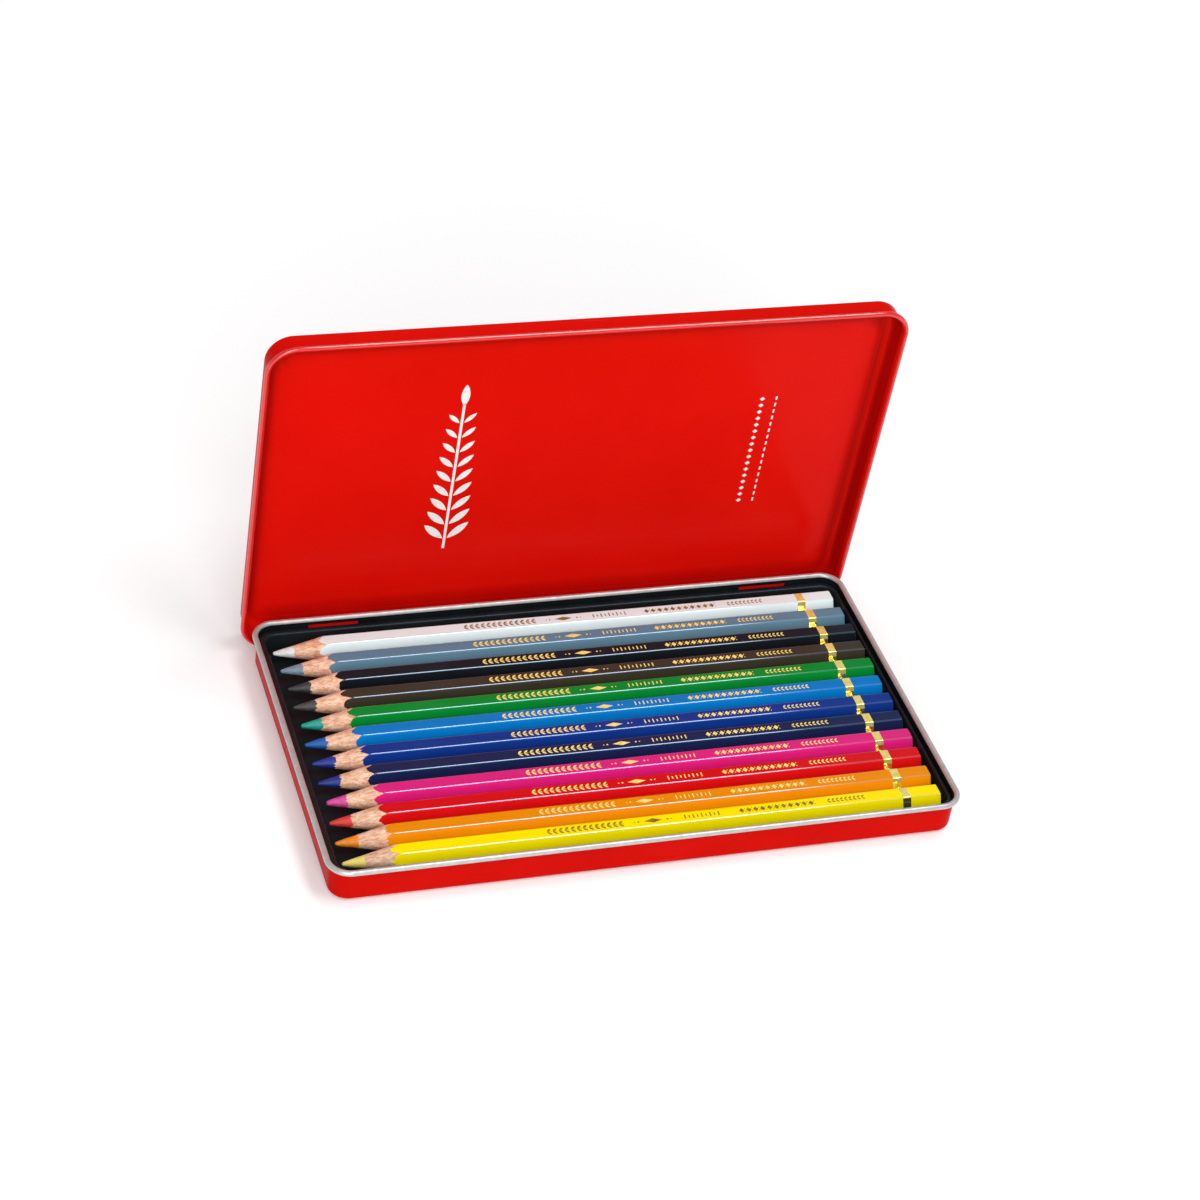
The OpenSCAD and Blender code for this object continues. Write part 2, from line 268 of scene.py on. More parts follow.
lidEnamel = bakedEnamel("bakedRedEnamel", "#d20d06", "#d81008", 0.015, 0.18, 0.24)
# the lid's inside, with painted shade of #7c0602 in a band round its panel
lidPaintedShadeEnamel = bakedEnamel("paintedShadeRedEnamel", "#da0f06", "#df1208", 0.05, 0.18, 0.24, "#7c0602")
lidEdgeEnamel = bakedEnamel("burnishedRedEnamel", "#d20d06", "#d81008", 1.0, 0.08, 0.12)
# the lid's red enamel drawn darker for the tray: painted shade
trayEnamel = bakedEnamel("shadedRedEnamel", "#c00d07", "#c81009", 0.015, 0.18, 0.24)
tinplate = bareTinplate("bareDrawnTinplate")
innerLacquer = blackGloss("blackTinLacquer", "#111416", "#171b1d", 0.08, 0.2, 0.28, 3.0)
insertPlastic = blackGloss("blackFormedPolystyrene", "#181c1e", "#1e2326", 0.07, 0.2, 0.28, 1.6)
insertEdge = blackGloss("stretchedPolystyreneEdge", "#181c1e", "#1e2326", 0.3, 0.12, 0.18, 1.6)
cedar = sharpenedCedar("sharpenedCedar")
rubbedFoil = stampedFoil("rubbedGoldFoil", "#eedc68", "#fbf0a0", 0.4, 0.16, 0.24)
brightFoil = stampedFoil("brightGoldFoil", "#f0d860", "#fdf0a8", 0.96, 0.07, 0.14)
goldGilding = stampedFoil("fineGoldGilding", "#f0dc5c", "#fbf098", 0.1, 0.4, 0.55)
deepGilding = stampedFoil("deepGoldGilding", "#7a6420", "#a88c3a", 0.3, 0.4, 0.55)
whiteInk = screenPrint("whiteScreenInk")
print("finishes made")


tin = {
    "sheet": 0.3,   # tinplate; every length here is in mm
    "hingeX": 67.8,
    "windowWidth": 15.0,
    "windowLow": 2.6,
    "windowHigh": 9.38,
    "axisY": 54.2,
    "axisZ": 2.9,
    "lidOpen": 85.0,
}

trayShape = {
    "halfX": 91.55, "halfY": 52.95,   # inner face of the wall
    "corner": 5.35, "cornerPoints": 16,
    "filletAcross": 1.2, "filletDeep": 1.2, "borderRise": 0.0,
    "floor": 0.3,   # height of the inner floor
    "beadDepth": 10.35,   # from the inner floor to the rolled rim's centre
    "beadOut": 0.8,   # rolled rim's centre, outwards from the inner face
    "beadRadius": 0.848,
    "beadEnd": -127.0,   # where the roll meets the wall again, degrees
    "fineColumns": (11.5, 0.5),   # up to here from the front wall's middle, points lie this close
    "fineRows": (0.9, 3.4, 0.12),   # between these depths they lie this close
}

lidShape = {
    "halfX": 93.8, "halfY": 55.3,
    "corner": 7.6, "cornerPoints": 20,
    "filletAcross": 2.6, "filletDeep": 1.6,
    "borderRise": 0.12, "borderStep": 0.7,   # the panel is pressed out inside a plain border
    "plate": 11.95,   # closed height of the plate's inner face
    "beadDepth": 7.8,
    "beadOut": 0.73,
    "beadRadius": 0.748,
    "beadEnd": -122.0,
    "fineColumns": (6.5, 0.4),
    "fineRows": (-0.7, 0.7, 13),   # from, to and how many, round the depth of the catch
    "burnishedRows": 44,   # rows of points along the rolled edge
    # painted shade inside the lid: a darker band this far from the skirt, this wide and this strong
    "paintedShadeAt": 2.4, "paintedShadeWidth": 1.6, "paintedShadeDepth": 0.55,
    "freeSpread": 2.4,   # the painted shade reaches this much further along the free edge
    "freeFade": (12, 6),   # from this far inside the free edge, over this width
    "hingeFade": (9, 6), "hingeFainter": 0.85,   # and the painted shade is this much fainter along the hinge
}

dimples = {   # half length, height, half width and depth, outwards
    "ridge": (10.5, 2.1, 0.75, 0.33),
    "catch": (6.0, 9.3, 0.6, -0.18),
}


def opened(points):   # turns points of the closed lid, in mm, about the hinge axis to where it stands
    turn = math.radians(-tin["lidOpen"])
    y, z = points[..., 1] - tin["axisY"], points[..., 2] - tin["axisZ"]
    out = points.copy()
    out[..., 1] = tin["axisY"] + y * math.cos(turn) - z * math.sin(turn)
    out[..., 2] = tin["axisZ"] + y * math.sin(turn) + z * math.cos(turn)
    return out


def pressFront(rings, shape, halfLength, height, halfWidth, depth):
    # presses a dimple into the front wall: depth times (1 - s)^2, where s is the fourth power of the
    # distance along it plus the square of the distance across it, each as a share of its half size
    spread = (np.abs(rings[..., 0]) / halfLength) ** 4 + ((rings[..., 2] - height) / halfWidth) ** 2
    front = rings[..., 1] < -shape["halfY"] + 1.0
    rings[..., 1] -= np.where(front, depth * (1 - np.clip(spread, 0, 1)) ** 2, 0)


def panSteps(shape, extraDepths):
    # the pan's profile from its fillet to the end of its rolled edge, as (outwards, depth) pairs:
    # a smooth step up from the panel, a quarter ellipse, a straight wall, and a circle that
    # turns outwards
    across, deep, rise = shape["filletAcross"], shape["filletDeep"], shape["borderRise"]
    turn = np.radians(np.linspace(-90, 0, 16))
    bend = np.stack([across * np.cos(turn) - across, rise + deep * (1 + np.sin(turn))], -1)
    if rise:
        share = np.linspace(0, 1, 10)[:-1]
        climb = rise * share ** 2 * (3 - 2 * share)
        step = np.stack([shape["borderStep"] * (share - 1) - across, climb], -1)
        bend = np.concatenate([step, bend])
    wallTop = shape["beadDepth"] - 0.15   # just inside the bead
    depths = np.unique(np.round(np.concatenate([np.linspace(deep, wallTop, 14), extraDepths]), 4))
    depths = depths[(depths > rise + deep) & (depths <= wallTop)]
    wall = np.stack([np.zeros_like(depths), depths], -1)
    roll = np.radians(np.linspace(180, shape["beadEnd"], 42))
    bead = np.stack([shape["beadOut"] + shape["beadRadius"] * np.cos(roll),
                     shape["beadDepth"] + shape["beadRadius"] * np.sin(roll)], -1)
    return np.concatenate([bend, wall, bead]), len(bend) + len(wall)


def panRings(shape, steps, marks=()):
    # carries the profile round the rounded rectangle, then fills the flat panel with
    # smaller and smaller copies of the innermost ring
    alongX = sideShares(shape["halfX"], shape["corner"], marks, *shape["fineColumns"])
    alongY = sideShares(shape["halfY"], shape["corner"], (), 0, 1)
    rings = []
    for out, depth in steps:
        ring = roundedRing(shape["halfX"] + out, shape["halfY"] + out, shape["corner"] + out,
                           alongX, alongY, shape["cornerPoints"])
        rings.append(np.column_stack([ring, np.full(len(ring), depth)]))
    shares = (0.12, 0.3, 0.5, 0.7, 0.8, 0.86, 0.9, 0.93, 0.955, 0.975, 0.99)
    panel = [rings[0] * [share, share, 1] for share in shares]
    return np.array(panel + rings)


def sideShares(half, corner, marks, fine, fineStep):
    # sample positions along a straight side as shares of its half length
    reach = half - corner
    near = np.arange(-fine, fine + fineStep / 2, fineStep)
    spots = np.concatenate([np.linspace(-reach, reach, 33), near, np.array(marks), -np.array(marks)])
    spots = np.unique(np.round(spots[np.abs(spots) <= reach + 1e-6], 4))
    return spots / reach


def fanFaces(ring, middle):   # closes a ring with triangles to a middle point
    return np.stack([ring, np.roll(ring, -1), np.full_like(ring, middle)], -1)


def buildPan(name, rings, flip, keep, finishes, finishRow, sheet, evenWall=True):
    # a sheet through the rings, without the quads that "keep" leaves out, given its thickness; the
    # first half of the finishes is for its inner face and the second half for its outer face
    rows, columns = rings.shape[:2]
    points = np.concatenate([rings.reshape(-1, 3), rings[0].mean(0, keepdims=True)])
    quads = gridFaces(rows, columns, False)
    index = np.repeat(finishRow, columns).reshape(rows, columns)[:-1]
    quads, index = quads[keep], index[keep]
    fan = fanFaces(np.arange(columns), rows * columns)[:, ::-1]
    if flip:
        quads, fan = quads[:, ::-1], fan[:, ::-1]
    faces = quads.tolist() + fan.tolist()
    index = np.concatenate([index, np.full(len(fan), finishRow[0])])
    piece = newPiece(name, points * mm, faces, finishes, index, 45)
    wall = piece.modifiers.new("sheet", "SOLIDIFY")
    wall.thickness = sheet * mm
    wall.offset = -1
    wall.use_even_offset = evenWall
    wall.material_offset = wall.material_offset_rim = len(finishes) // 2
    return piece


def buildTray():
    shape = trayShape
    halfWindow = tin["windowWidth"] / 2
    marks = np.array([tin["windowLow"], tin["windowHigh"]]) - shape["floor"]
    steps, beadRow = panSteps(shape, np.concatenate([np.arange(*shape["fineRows"]), marks]))
    rings = panRings(shape, steps, [tin["hingeX"] - halfWindow, tin["hingeX"] + halfWindow])
    rings[..., 2] += shape["floor"]
    pressFront(rings, shape, *dimples["ridge"])
    middle = (rings[:-1] + rings[1:]) / 2
    middle = (middle + np.roll(middle, -1, 1)) / 2
    inWindow = ((np.abs(np.abs(middle[..., 0]) - tin["hingeX"]) < halfWindow)
                & (middle[..., 2] > tin["windowLow"]) & (middle[..., 2] < tin["windowHigh"])
                & (middle[..., 1] > shape["halfY"] - 0.2))
    rowFinish = np.zeros(len(rings), int)
    rowFinish[len(rings) - len(steps) + beadRow - 1:] = 1
    pan = buildPan("trayPan", rings, True, ~inWindow, [innerLacquer, tinplate, trayEnamel, tinplate],
                   rowFinish, tin["sheet"])
    place(pan, "tray", "red_enamel", "tray_pan")


def paintedShadeDepths(rings, shape):
    # how strong the painted shade is: most at its set distance from the skirt, fading to both sides,
    # in a broader band along the free edge, and hardly at all along the hinge; the inside of the skirt
    # is as dark, and the rolled edge has none
    corner = shape["corner"]
    beyond = np.abs(rings[..., :2]) - [shape["halfX"] - corner, shape["halfY"] - corner]
    inwards = corner - np.hypot(*np.moveaxis(np.maximum(beyond, 0), -1, 0)) - np.minimum(beyond.max(-1), 0)
    start, width = shape["freeFade"]
    freeSide = np.clip((start - shape["halfY"] - rings[..., 1]) / width, 0, 1)
    inwards = inwards / (1 + (shape["freeSpread"] - 1) * freeSide)
    paintedShade = np.exp(-((inwards - shape["paintedShadeAt"]) / shape["paintedShadeWidth"]) ** 2)
    start, width = shape["hingeFade"]
    hingeSide = np.clip((rings[..., 1] - shape["halfY"] + start) / width, 0, 1)
    paintedShade = np.maximum(paintedShade, inwards < 0.5) * (1 - shape["hingeFainter"] * hingeSide)
    paintedShade *= shape["paintedShadeDepth"]
    paintedShade[-shape["burnishedRows"]:] = 0
    return paintedShade


def buildLid():
    shape = lidShape
    catchDepth = shape["plate"] - dimples["catch"][1]
    steps, _ = panSteps(shape, catchDepth + np.linspace(*shape["fineRows"]))
    rings = panRings(shape, steps)
    rings[..., 2] = shape["plate"] - rings[..., 2]
    pressFront(rings, shape, *dimples["catch"])
    keep = np.ones((len(rings) - 1, rings.shape[1]), bool)
    rowFinish = np.zeros(len(rings), int)
    rowFinish[-shape["burnishedRows"]:] = 1
    pan = buildPan("lidPan", opened(rings), False, keep,
                   [lidPaintedShadeEnamel, lidEdgeEnamel, lidEnamel, lidEdgeEnamel], rowFinish, tin["sheet"])
    # painted shade round the panel, kept per point for the finish of the lid's inside
    layer = pan.data.attributes.new("paintedShade", "FLOAT", "POINT")
    depths = paintedShadeDepths(rings, shape).ravel()
    layer.data.foreach_set("value", np.append(depths, 0.0).astype(np.float32))
    place(pan, "lid", "red_enamel", "lid_pan")


buildTray()
buildLid()
print("tin made")


hinge = {
    "width": 12.0,
    "knuckleRadius": 0.6,   # outer
    "tabGap": 0.05,
    "tabLean": 28.7,
    "tabEnd": 190.0,
    "legOut": 1.15,   # how far the tab's leg reaches from the axis towards the skirt
    "edgeRound": 0.06,
}


def bentStrip(name, path, thickness, centreX, isLid):
    # carries a flat strip's rounded section along a path in the (y, z) plane; the section's long
    # side lies along X, its short side along the path's normal
    along = np.gradient(path, axis=0)
    along /= np.linalg.norm(along, axis=1, keepdims=True)
    normal = np.stack([-along[:, 1], along[:, 0]], -1)
    half, deep, soft = hinge["width"] / 2, thickness / 2, hinge["edgeRound"]
    turn = np.radians(np.arange(0, 360, 30) + 15)
    signX, signN = np.sign(np.cos(turn)), np.sign(np.sin(turn))
    sectionX = signX * (half - soft) + soft * np.cos(turn)
    sectionN = signN * (deep - soft) + soft * np.sin(turn)
    points = np.empty((len(path), len(turn), 3))
    points[..., 0] = centreX + sectionX
    points[..., 1] = path[:, None, 0] + normal[:, None, 0] * sectionN
    points[..., 2] = path[:, None, 1] + normal[:, None, 1] * sectionN
    if isLid:
        points = opened(points)
    faces = gridFaces(len(path), len(turn), False).reshape(-1, 4)
    first = np.arange(len(turn))
    last = first[::-1] + (len(path) - 1) * len(turn)
    # the section runs from +X towards the normal, so the quads face inwards: turn them round
    faces = faces[:, ::-1].tolist() + [first.tolist(), last.tolist()]
    return newPiece(name, points * mm, faces, [lidEnamel if isLid else tinplate])


def buildHinges():
    sheet = tin["sheet"]
    axis = np.array([tin["axisY"], tin["axisZ"]])
    middle = hinge["knuckleRadius"] - sheet / 2
    turn = np.radians(np.linspace(-90, 225, 64))
    curl = axis + middle * np.stack([np.cos(turn), np.sin(turn)], -1)
    wallY = trayShape["halfY"] + sheet / 2
    web = np.stack([np.linspace(wallY, axis[0], 8)[:-1], np.full(7, axis[1] - middle)], -1)
    knuckle = np.concatenate([web, curl])
    outer = hinge["knuckleRadius"] + hinge["tabGap"] + sheet / 2
    sweep = np.radians(np.linspace(hinge["tabEnd"], 90 + hinge["tabLean"], 24))
    hook = axis + outer * np.stack([np.cos(sweep), np.sin(sweep)], -1)
    lean = math.radians(hinge["tabLean"])
    reach = (hinge["legOut"] + outer * math.sin(lean)) / math.cos(lean)
    leg = hook[-1] + np.linspace(0, reach, 7)[1:, None] * np.array([math.cos(lean), math.sin(lean)])
    tab = np.concatenate([hook, leg])
    for side, sign in (("left", -1), ("right", 1)):
        centre = sign * tin["hingeX"]
        place(bentStrip("hingeKnuckle" + side.title(), knuckle, sheet, centre, False), "tray",
              "bare_tinplate", "hinge_knuckle_" + side)
        place(bentStrip("hingeTab" + side.title(), tab, sheet, centre, True), "lid",
              "red_enamel", "hinge_tab_" + side)


buildHinges()
print("hinge made")


insert = {
    "flangeX": 91.25, "flangeY": 52.65, "flangeCorner": 5.05,
    "ledge": 8.8,
    "troughX": 89.8, "troughY": 50.6, "troughCorner": 4.0, "shift": 0.5,
    "bed": 2.0,
    "thickness": 0.55,
    "edgeRound": 0.42,
    "rimRound": 0.2,
    "lip": 0.45,
    "floorRound": 1.4,
    "draft": 0.25,   # the trough narrows by this much from ledge to bed
    "overlap": 0.02,   # the bend starts this far inside the wall, and the ribs reach into the bed
    "ribCount": 7, "ribWidth": 1.0, "ribLow": 0.35, "ribMargin": 20,
}


def buildInsert():
    part = insert
    alongX = np.linspace(-1, 1, 45)
    alongY = np.linspace(-1, 1, 29)

    def ringAt(kind, out, height, shift=0.0):   # the trough's or the flange's outline, grown by "out"
        ring = roundedRing(part[kind + "X"] + out, part[kind + "Y"] + out, part[kind + "Corner"] + out,
                           alongX, alongY, 16, shift)
        return np.column_stack([ring, np.full(len(ring), height)])

    # quarter circles: up from the bed, over into the ledge, and down its outer edge
    low, high, soft = part["floorRound"], part["edgeRound"], part["rimRound"]
    bend = [ringAt("trough", low * (math.cos(t) - 1) - part["draft"],
                   part["bed"] + low * (1 + math.sin(t)), part["shift"])
            for t in np.radians(np.linspace(-90, -2, 10))]
    top = [ringAt("trough", high * (1 + math.cos(t)) - part["overlap"],
                  part["ledge"] - high * (1 - math.sin(t)), part["shift"])
           for t in np.radians(np.linspace(180, 92, 8))]
    rim = [ringAt("flange", soft * (math.cos(t) - 1), part["ledge"] - soft * (1 - math.sin(t)))
           for t in np.radians(np.linspace(90, 0, 5))]
    rim.append(ringAt("flange", 0, part["ledge"] - part["lip"]))
    middle = [part["shift"], 0, 0]
    panel = [(bend[0] - middle) * [share, share, 1] + middle for share in (0.1, 0.35, 0.6, 0.8, 0.93)]
    rings = np.array(panel + bend + top + rim)
    rowFinish = np.zeros(len(rings), int)
    rowFinish[len(panel) + len(bend):-len(rim)] = 1   # forming stretches the bend, so it shines
    keep = np.ones((len(rings) - 1, rings.shape[1]), bool)
    tray = buildPan("insertTray", rings, True, keep,
                    [insertPlastic, insertEdge, insertPlastic, insertPlastic], rowFinish,
                    part["thickness"], False)
    place(tray, "insert", "insert_plastic", "insert_tray")

    # ribs across the underside of the bed, as plain bars
    span = 2 * part["troughX"] - part["ribMargin"]
    spots = part["shift"] + np.linspace(-span / 2, span / 2, part["ribCount"])
    corner = np.array([[x, y, z] for z in (0, 1) for x, y in square])
    size = np.array([part["ribWidth"] / 2, part["troughY"] - part["troughCorner"],
                     part["bed"] - part["thickness"] - part["ribLow"] + part["overlap"]])
    points = (corner * size + [0, 0, part["ribLow"]])[None] + np.array([[[x, 0, 0]] for x in spots])
    box = np.array([[3, 2, 1, 0], [4, 5, 6, 7], [0, 1, 5, 4], [1, 2, 6, 5], [2, 3, 7, 6], [3, 0, 4, 7]])
    faces = (box[None] + len(corner) * np.arange(len(spots))[:, None, None]).reshape(-1, 4).tolist()
    place(newPiece("insertRibs", points * mm, faces, [insertPlastic]), "insert", "insert_plastic")


buildInsert()
print("insert made")


pencil = {
    "pitch": 8.23,
    "rowY": 0.6,
    "axisZ": 5.6,
    "flats": 7.0,
    "edgeRadius": 0.58,
    "lacquer": 0.15,
    "length": 176.0,
    "pointX": -86.7,
    "leadRadius": 1.9,
    "cone": 12.4,
    "pointRadius": 0.45,
    "endRound": 0.5,
    "foilFromEnd": 9.4,
    "foilWidth": 2.5,
    "foilLift": 0.035,
    "ringPoints": (9, 21),   # points round each rounded corner, and along each flat between them
    "midRings": (60.0, 115.0),
    "edgeTeeth": 1.1, "toothKnots": 52,   # how far chipped lacquer stands back from its cut edge
    "edgeSpikes": 0.15,   # how much further the wood shows along the casing's long edges
    "cutSlant": 0.12,   # the cut edge of the coats leans back by this much through their depth
    "woodTeeth": 0.2, "woodKnots": 34,   # how far torn wood reaches over the core, across the cone
    "coreBulge": 0.1,   # a worn core is slightly fuller than the cone
    "rubbedHalf": 31,   # half the angle of the flat that hands rub in the tin, degrees
    "seeds": {"spikes": 900, "teeth": 40, "wood": 70, "core": 110, "low": 140, "high": 170},
}

# name, lacquer, deeper lacquer, core, darker core, slip along the row, worn point radius, dust bloom
shades = [
    ("white", "#e5f2f2", "#e0eded", "#eceeec", "#d3d6d5", -0.8, 0.60, 0.03),
    ("slate", "#608296", "#5b7d90", "#8296a6", "#6a7f90", -0.1, 0.55, 0.14),
    ("black", "#121518", "#0e1113", "#3a3c3e", "#2a2c2e", 0.6, 0.48, 0.16),
    ("umber", "#3b3324", "#352e20", "#4b4a48", "#3a3836", 0.4, 0.48, 0.16),
    ("green", "#03882f", "#03822b", "#18a391", "#118777", 0.4, 0.62, 0.06),
    ("azure", "#0279c6", "#0273bc", "#0d62b4", "#0a4f9c", -0.1, 0.55, 0.08),
    ("cobalt", "#0d348a", "#0b2f7e", "#1c3596", "#142a80", 0.3, 0.52, 0.12),
    ("navy", "#121e4c", "#0f1941", "#18308c", "#122474", 0.1, 0.53, 0.2),
    ("magenta", "#d8187a", "#d01472", "#dc4c9e", "#c23a88", 0.1, 0.70, 0.26),
    ("red", "#d20a0d", "#ca080a", "#dc3a30", "#c62c26", -0.4, 0.57, 0.1),
    ("orange", "#e68c04", "#df8604", "#f08e10", "#e07c0a", -0.6, 0.55, 0.03),
    ("yellow", "#fbe800", "#f5e000", "#f4e276", "#e6d05e", -0.7, 0.60, 0.02),
]


def hexagonRing(across, radius, cornerPoints, flatPoints):
    # a hexagon with rounded corners in the pencil's own (sideways, up) plane, anticlockwise seen
    # from the blunt end, with one flat facing up
    reach = (across / 2 - radius) / math.cos(math.pi / 6)
    turn = np.linspace(-math.pi / 6, math.pi / 6, cornerPoints)
    corners = []
    for middle in np.arange(6) * math.pi / 3:
        centre = reach * np.array([math.cos(middle), math.sin(middle)])
        corners.append(centre + radius * np.stack([np.cos(middle + turn), np.sin(middle + turn)], -1))
    share = np.linspace(0, 1, flatPoints + 2)[1:-1, None]
    parts = []
    for k, corner in enumerate(corners):
        parts += [corner, corner[-1] + share * (corners[(k + 1) % 6][0] - corner[-1])]
    return np.concatenate(parts)


def jagged(around, seed, knots):
    # broken edge: straight runs between random heights at uneven places round the pencil, 0 to 1
    random = np.random.default_rng(seed)
    spots = np.sort(random.uniform(-math.pi, math.pi, knots))
    heights = random.uniform(0, 1, knots) ** 1.5
    return np.interp(around, spots, heights, period=2 * math.pi)


def alongPencil(index, radial, distance):
    # puts (sideways, up) points at a distance behind the point into the row frame
    rowStart = pencil["rowY"] + (len(shades) - 1) / 2 * pencil["pitch"]
    out = np.empty((*radial.shape[:-1], 3))
    out[..., 0] = pencil["pointX"] + shades[index][5] + distance
    out[..., 1] = rowStart - index * pencil["pitch"] + radial[..., 0]
    out[..., 2] = pencil["axisZ"] + radial[..., 1]
    return out


def pencilRings(index, rows):   # rings from rows of (section, distances behind the point)
    return np.array([alongPencil(index, radial, distance) for radial, distance in rows])


def loopFaces(rings):   # faces of a tube whose last ring joins its first
    return gridFaces(*rings.shape[:2], True).reshape(-1, 4).tolist()


def tubeFaces(rings):
    # faces of a closed tube whose rings run anticlockwise seen from its far end, with its two poles
    rows, columns = rings.shape[:2]
    ring, count = np.arange(columns), rows * columns
    return (gridFaces(rows, columns, False).reshape(-1, 4).tolist()
            + fanFaces(ring, count)[:, ::-1].tolist()
            + fanFaces(ring + count - columns, count + 1).tolist())


def withPoles(rings):   # ring points followed by the middle of the first and of the last ring
    return np.concatenate([rings.reshape(-1, 3), rings[[0, -1]].mean(1)])


def buildPencil(index):
    shade, lacquerHex, deepHex, coreHex, darkCoreHex, _, worn, bloom = shades[index]
    part = pencil
    body = "pencil_" + shade
    slope = math.tan(math.radians(part["cone"]))
    apex = part["pointRadius"] / slope   # the cone's own apex lies this far ahead of the point
    inset, soft = part["lacquer"], part["endRound"]
    length, woodEnd = part["length"], part["length"] - inset
    outer = hexagonRing(part["flats"], part["edgeRadius"], *part["ringPoints"])
    inner = hexagonRing(part["flats"] - 2 * inset, part["edgeRadius"] - inset, *part["ringPoints"])
    outerCut = np.hypot(*outer.T) / slope - apex   # where the cone comes out through each surface
    innerCut = np.hypot(*inner.T) / slope - apex
    around = np.arctan2(outer[:, 1], outer[:, 0])
    seeds = {key: seed + index for key, seed in part["seeds"].items()}
    random = np.random.default_rng(seeds["spikes"])
    teeth = part["edgeTeeth"] * jagged(around, seeds["teeth"], part["toothKnots"])
    fromCorner = np.abs((around * 6 / math.pi + 1) % 2 - 1)   # 1 on an edge of the hexagon, 0 mid facet
    teeth += part["edgeSpikes"] * np.clip((fromCorner - 0.8) / 0.2, 0, 1) ** 2 * random.uniform(0.6, 1.1)

    # lacquer: from inside the blunt end, forward under the jacket, round the cut edge, and back
    turn = np.radians(np.linspace(0, 90, 7))
    endScale = [1 - soft * (1 - math.cos(t)) / (part["flats"] / 2) for t in turn]
    rows = [(inner * 0.5, woodEnd), (inner, woodEnd), (inner, innerCut + teeth),
            (outer - 0.25 * (outer - inner), innerCut + teeth + part["cutSlant"]),
            (outer, outerCut + teeth * 0.9), (outer, outerCut + teeth * 0.9 + 0.5)]
    rows += [(outer, distance) for distance in part["midRings"]]
    rows += [(outer * scale, length - soft * (1 - math.sin(t))) for scale, t in zip(endScale, turn)]
    rows.append((outer * endScale[-1] * 0.5, length))
    rings = pencilRings(index, rows)
    facet = pencilLacquer(shade + "LacquerFacet", lacquerHex, deepHex, bloom, 1.48, 0.1, 0.18, 0.24)
    edge = pencilLacquer(shade + "LacquerEdge", lacquerHex, deepHex, bloom, 1.8, 1.0, 0.09, 0.13)
    faces = tubeFaces(rings)
    cornerPoints, flatPoints = part["ringPoints"]
    column = np.arange(rings.shape[1]) % (cornerPoints + flatPoints)
    onEdge = np.tile(column < cornerPoints - 1, len(rings) - 2)   # the blunt end face is all one
    finishIndex = np.concatenate([onEdge, np.zeros(len(faces) - len(onEdge), bool)])
    jacket = newPiece(shade + "Lacquer", withPoles(rings) * mm, faces, [facet, edge], finishIndex, 32)
    place(jacket, body, "lacquer_" + shade, body + "_lacquer")

    # casing: a closed tube of wood, cone first, then under the lacquer, and back along the bore
    bore = part["leadRadius"] * np.stack([np.cos(around), np.sin(around)], -1)
    torn = part["leadRadius"] - part["woodTeeth"] * jagged(around, seeds["wood"], part["woodKnots"])
    reach = np.hypot(*inner.T)
    rows = []
    for share in (0.0, 0.06, 0.3, 0.6, 0.85, 1.0):
        radius = torn + share * (reach - torn)
        lift = 0.03 * math.sin(math.pi * min(share * 4, 1)) if share < 0.25 else 0.0   # a torn lip
        rows.append((inner / reach[:, None] * (radius + lift)[:, None], radius / slope - apex))
    rows += [(inner, woodEnd), (bore, woodEnd), (bore, part["leadRadius"] / slope - apex + 1.0)]
    rings = pencilRings(index, rows)
    casing = newPiece(shade + "Casing", rings * mm, loopFaces(rings), [cedar])
    place(casing, body, "pencil_wood", body + "_casing")

    # lead: a worn round point, the cone, and the core through the wood
    turns = np.linspace(0, 2 * math.pi, 41)[:-1]
    circle = np.stack([np.cos(turns), np.sin(turns)], -1)
    tipTurn = np.radians(np.linspace(90, part["cone"], 9))
    joinR = worn * math.cos(tipTurn[-1])
    tipCentre = joinR / slope - apex + worn * math.sin(tipTurn[-1])
    profile = [(worn * math.cos(t), tipCentre - worn * math.sin(t)) for t in tipTurn[1:]]
    for share in np.linspace(0, 1, 7)[1:]:
        radius = joinR + share * (part["leadRadius"] - joinR)
        bulge = part["coreBulge"] * math.sin(math.pi * share) * (1 - share)
        profile.append((radius + bulge, radius / slope - apex))
    profile.append((part["leadRadius"] - 0.01, woodEnd - 0.01))
    ripple = 1 + 0.02 * smoothNoise(turns, seeds["core"], [3, 5, 8])[:, None]
    rings = pencilRings(index, [(circle * radius * (ripple if k < len(tipTurn) - 1 else 1), distance)
                                for k, (radius, distance) in enumerate(profile)])
    points = withPoles(rings)
    points[-2] = alongPencil(index, np.zeros(2), tipCentre - worn)
    core = waxCore(shade + "Core", coreHex, darkCoreHex)
    lead = newPiece(shade + "Lead", points * mm, tubeFaces(rings), [core], None, 60)
    place(lead, body, "lead_" + shade, body + "_lead")

    # foil: a closed band round the jacket, with slightly ragged edges
    rise, bandEnd = part["foilLift"], length - part["foilFromEnd"]
    lifted = hexagonRing(part["flats"] + 2 * rise, part["edgeRadius"] + rise, *part["ringPoints"])
    low = bandEnd - part["foilWidth"] + 0.05 * smoothNoise(around, seeds["low"], [9, 17, 33])
    high = bandEnd + 0.05 * smoothNoise(around, seeds["high"], [9, 17, 33])
    rings = pencilRings(index, [(outer, low), (lifted, low + 0.03), (lifted, high - 0.03), (outer, high)])
    onTop = np.abs(around - math.pi / 2) < math.radians(part["rubbedHalf"])
    band = newPiece(shade + "Foil", rings * mm, loopFaces(rings), [rubbedFoil, brightFoil],
                    np.tile(~onTop, len(rings)))
    place(band, body, "gold_foil", body + "_foil")


for number in range(len(shades)):
    buildPencil(number)
print("pencils made")


stamp = {
    "lift": 0.012,   # foil and ink stand this far above what they lie on
    "sink": 0.01,   # and reach this far into it
}


